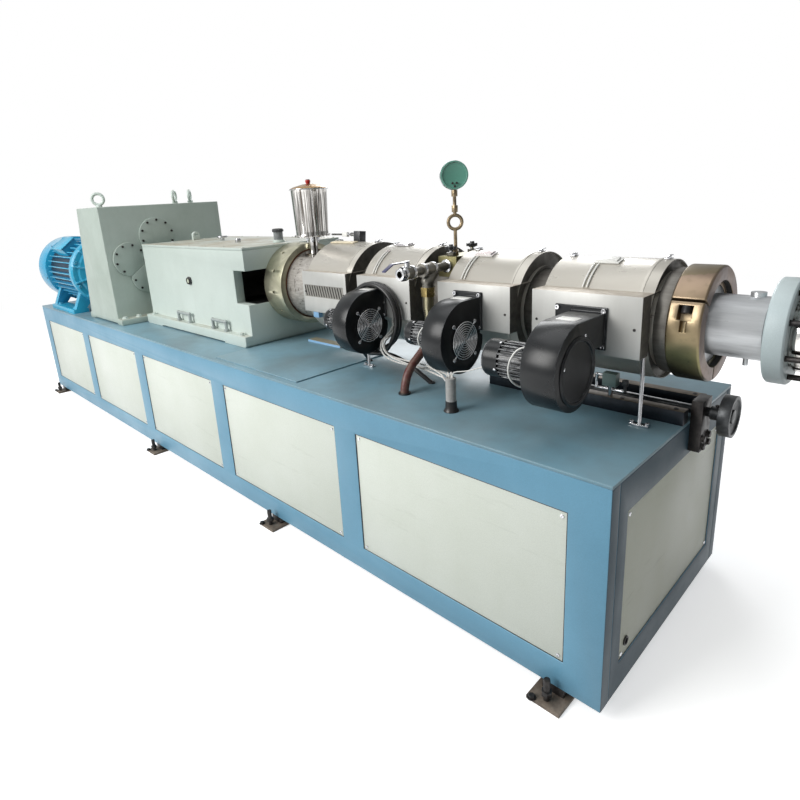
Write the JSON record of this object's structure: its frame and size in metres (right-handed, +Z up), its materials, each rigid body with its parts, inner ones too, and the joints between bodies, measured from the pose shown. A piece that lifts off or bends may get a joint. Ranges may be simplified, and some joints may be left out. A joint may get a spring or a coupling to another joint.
{
  "type": "twin-screw plastic extruder",
  "caption": "Twin-screw plastic extruder on a panelled base: motor, reducer, gear case, cooled barrel with blowers, vacuum vent, clamp and die.",
  "frame": {"origin": "on the floor, under the middle of the machine's overall length and the middle of its base's width", "axes": "+X along the barrel towards the die, -Y towards the service side with the blowers, +Z up"},
  "size_m": [5.66, 1.11, 1.64],
  "materials": {
    "base_paint": "satin",
    "deck_paint": "satin",
    "panel_paint": "satin",
    "gear_paint": "satin",
    "motor_paint": "gloss",
    "stainless": "brushed",
    "polished_steel": "polished",
    "dark_steel": "satin",
    "zinc": "zinc plated, yellow passivated",
    "cast_steel": "rough cast, turned at the ends",
    "blower_black": "satin",
    "pipe_fittings": "galvanised, dull",
    "lever_paint": "satin",
    "gauge_case": "satin",
    "hose_rubber": "matte",
    "die_paint": "satin",
    "hose_black": "satin",
    "cable_white": "satin",
    "sleeve_grey": "matte"
  },
  "bodies": {
    "machine": {"frame_front": "base_paint", "frame_back": "base_paint", "frame_ends": "base_paint", "deck": "deck_paint", "panels_front": "panel_paint", "panels_back": "panel_paint", "panels_ends": "panel_paint", "levelling_feet": "dark_steel", "deck_cover": "deck_paint", "motor": "motor_paint", "motor_cowl": "motor_paint", "motor_coupling": "dark_steel", "reducer": "gear_paint", "reducer_covers": "gear_paint", "lifting_eyes": "polished_steel", "gear_case": "gear_paint", "gear_case_lid": "gear_paint", "gear_case_fittings": "polished_steel", "oil_pipes": "polished_steel", "screw_couplings": "dark_steel", "coupling_ring": "zinc", "barrel": "cast_steel", "feed_pot": "polished_steel", "shroud_1": "stainless", "shroud_2": "stainless", "shroud_3": "stainless", "shroud_4": "stainless", "heater_terminals": "stainless", "support_posts": "polished_steel", "blower_1": "blower_black", "blower_2": "blower_black", "blower_3": "blower_black", "blower_motors": "dark_steel", "fan_guards": "dark_steel", "fan_leads": "cable_white", "hose_coil": "hose_black", "hose_tails": "hose_black", "heater_leads": "cable_white", "cable_sleeve": "sleeve_grey", "vent_block": "zinc", "vent_pipework": "pipe_fittings", "pressure_gauge": "gauge_case", "vent_hose": "hose_rubber", "clamp": "zinc", "neck": "stainless", "die_flange": "die_paint", "die_body": "polished_steel", "die_outlet": "die_paint", "tie_rods": "dark_steel", "slide_rails": "dark_steel", "barrel_carriage": "die_paint", "drain_valve": "die_paint", "screw_bracket": "dark_steel"},
    "hand_screw": {"lead_screw": "dark_steel"},
    "valve_handle": {"valve_lever": "lever_paint"}
  },
  "joints": [
    {"name": "hand_screw_turn", "type": "hinge", "parent": "machine", "child": "hand_screw", "pos_m": [2.426, 0.1, 0.784], "axis": [1, 0, 0], "continuous": true},
    {"name": "valve_turn", "type": "hinge", "parent": "machine", "child": "valve_handle", "pos_m": [1.402, -0.229, 1.245], "axis": [0, 0, 1], "range_deg": [0, 90]}
  ]
}
